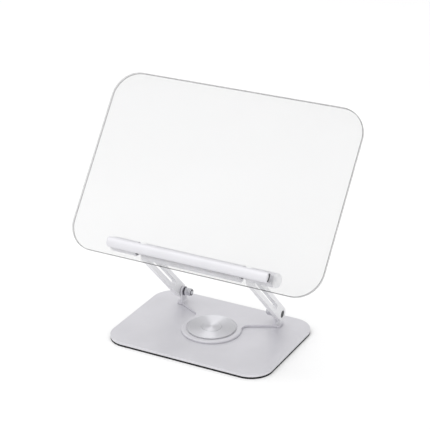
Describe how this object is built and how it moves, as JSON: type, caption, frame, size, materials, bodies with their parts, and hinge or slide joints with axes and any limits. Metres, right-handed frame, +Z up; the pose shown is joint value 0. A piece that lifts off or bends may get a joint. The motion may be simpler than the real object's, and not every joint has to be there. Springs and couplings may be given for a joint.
{
  "type": "tablet stand",
  "caption": "Folding desk stand with a clear backing panel and a front stop bar, carried on hinged slotted arms above a swivelling rounded base plate.",
  "frame": {"origin": "centre of the base's footprint, on the table", "axes": "+Z up, +Y to the back, away from the person facing the panel, +X to that person's right, along the hinges"},
  "size_m": [0.3072, 0.1442, 0.2712],
  "materials": {
    "anodised_aluminium": "fine matt anodised",
    "spun_aluminium": "spun, with fine concentric turning lines",
    "clear_acrylic": "polished, clear",
    "black_rubber": "matt",
    "clear_silicone": "clear, satin",
    "black_plastic": "satin",
    "light_plastic": "satin",
    "steel": "zinc plated",
    "black_steel": "black oxide",
    "nylon": "plain"
  },
  "bodies": {
    "base": {"base_plate": "anodised_aluminium", "base_pad": "black_rubber", "glide_ring": "nylon"},
    "swivel": {"yoke": "anodised_aluminium", "swivel_hub": "steel", "swivel_retainer": "steel", "lower_glide_washer": "nylon", "cover_disc": "spun_aluminium", "centre_cap": "spun_aluminium", "retainer_screw_1": "steel", "retainer_screw_2": "steel", "retainer_screw_3": "steel"},
    "arms": {"arm_right": "anodised_aluminium", "arm_left": "anodised_aluminium", "hinge_bolt_right": "steel", "hinge_bolt_left": "steel", "bolt_plug_right": "black_plastic", "bolt_plug_left": "black_plastic", "hinge_nut_right": "steel", "hinge_nut_left": "steel", "lock_nut_right": "steel", "lock_nut_left": "steel", "lock_ring_right": "black_plastic", "lock_ring_left": "black_plastic", "disc_spring_right": "black_steel", "disc_spring_left": "black_steel", "friction_washer_right": "black_steel", "friction_washer_left": "black_steel"},
    "board": {"clear_panel": "clear_acrylic", "barrel": "anodised_aluminium", "barrel_cap_right": "anodised_aluminium", "barrel_cap_left": "anodised_aluminium", "pivot_bolt_right": "steel", "pivot_bolt_left": "steel", "pivot_anchor_right": "black_steel", "pivot_anchor_left": "black_steel", "pivot_bush_right": "black_steel", "pivot_bush_left": "black_steel", "pivot_washer_inner_right": "black_steel", "pivot_washer_inner_left": "black_steel", "pivot_washer_outer_right": "black_steel", "pivot_washer_outer_left": "black_steel", "pivot_spring_right": "steel", "pivot_spring_left": "steel", "stop_bar": "anodised_aluminium", "bar_plug_right": "light_plastic", "bar_plug_left": "light_plastic", "bar_ring_right": "black_rubber", "bar_ring_left": "black_rubber", "bar_gasket_upper": "clear_silicone", "bar_gasket_lower": "clear_silicone", "clamp_screw_1": "steel", "clamp_screw_2": "steel", "clamp_screw_3": "steel", "clamp_screw_4": "steel"}
  },
  "joints": [
    {"name": "base_swivel", "type": "hinge", "parent": "base", "child": "swivel", "pos_m": [0, 0.0025, 0.005], "axis": [0, 0, 1], "continuous": true},
    {"name": "lower_hinge", "type": "hinge", "parent": "swivel", "child": "arms", "pos_m": [0, 0.0455, 0.0212], "axis": [1, 0, 0], "range_deg": [-20, 40]},
    {"name": "upper_hinge", "type": "hinge", "parent": "arms", "child": "board", "pos_m": [0, -0.03902, 0.10751], "axis": [-1, 0, 0], "range_deg": [-50, 85]}
  ]
}
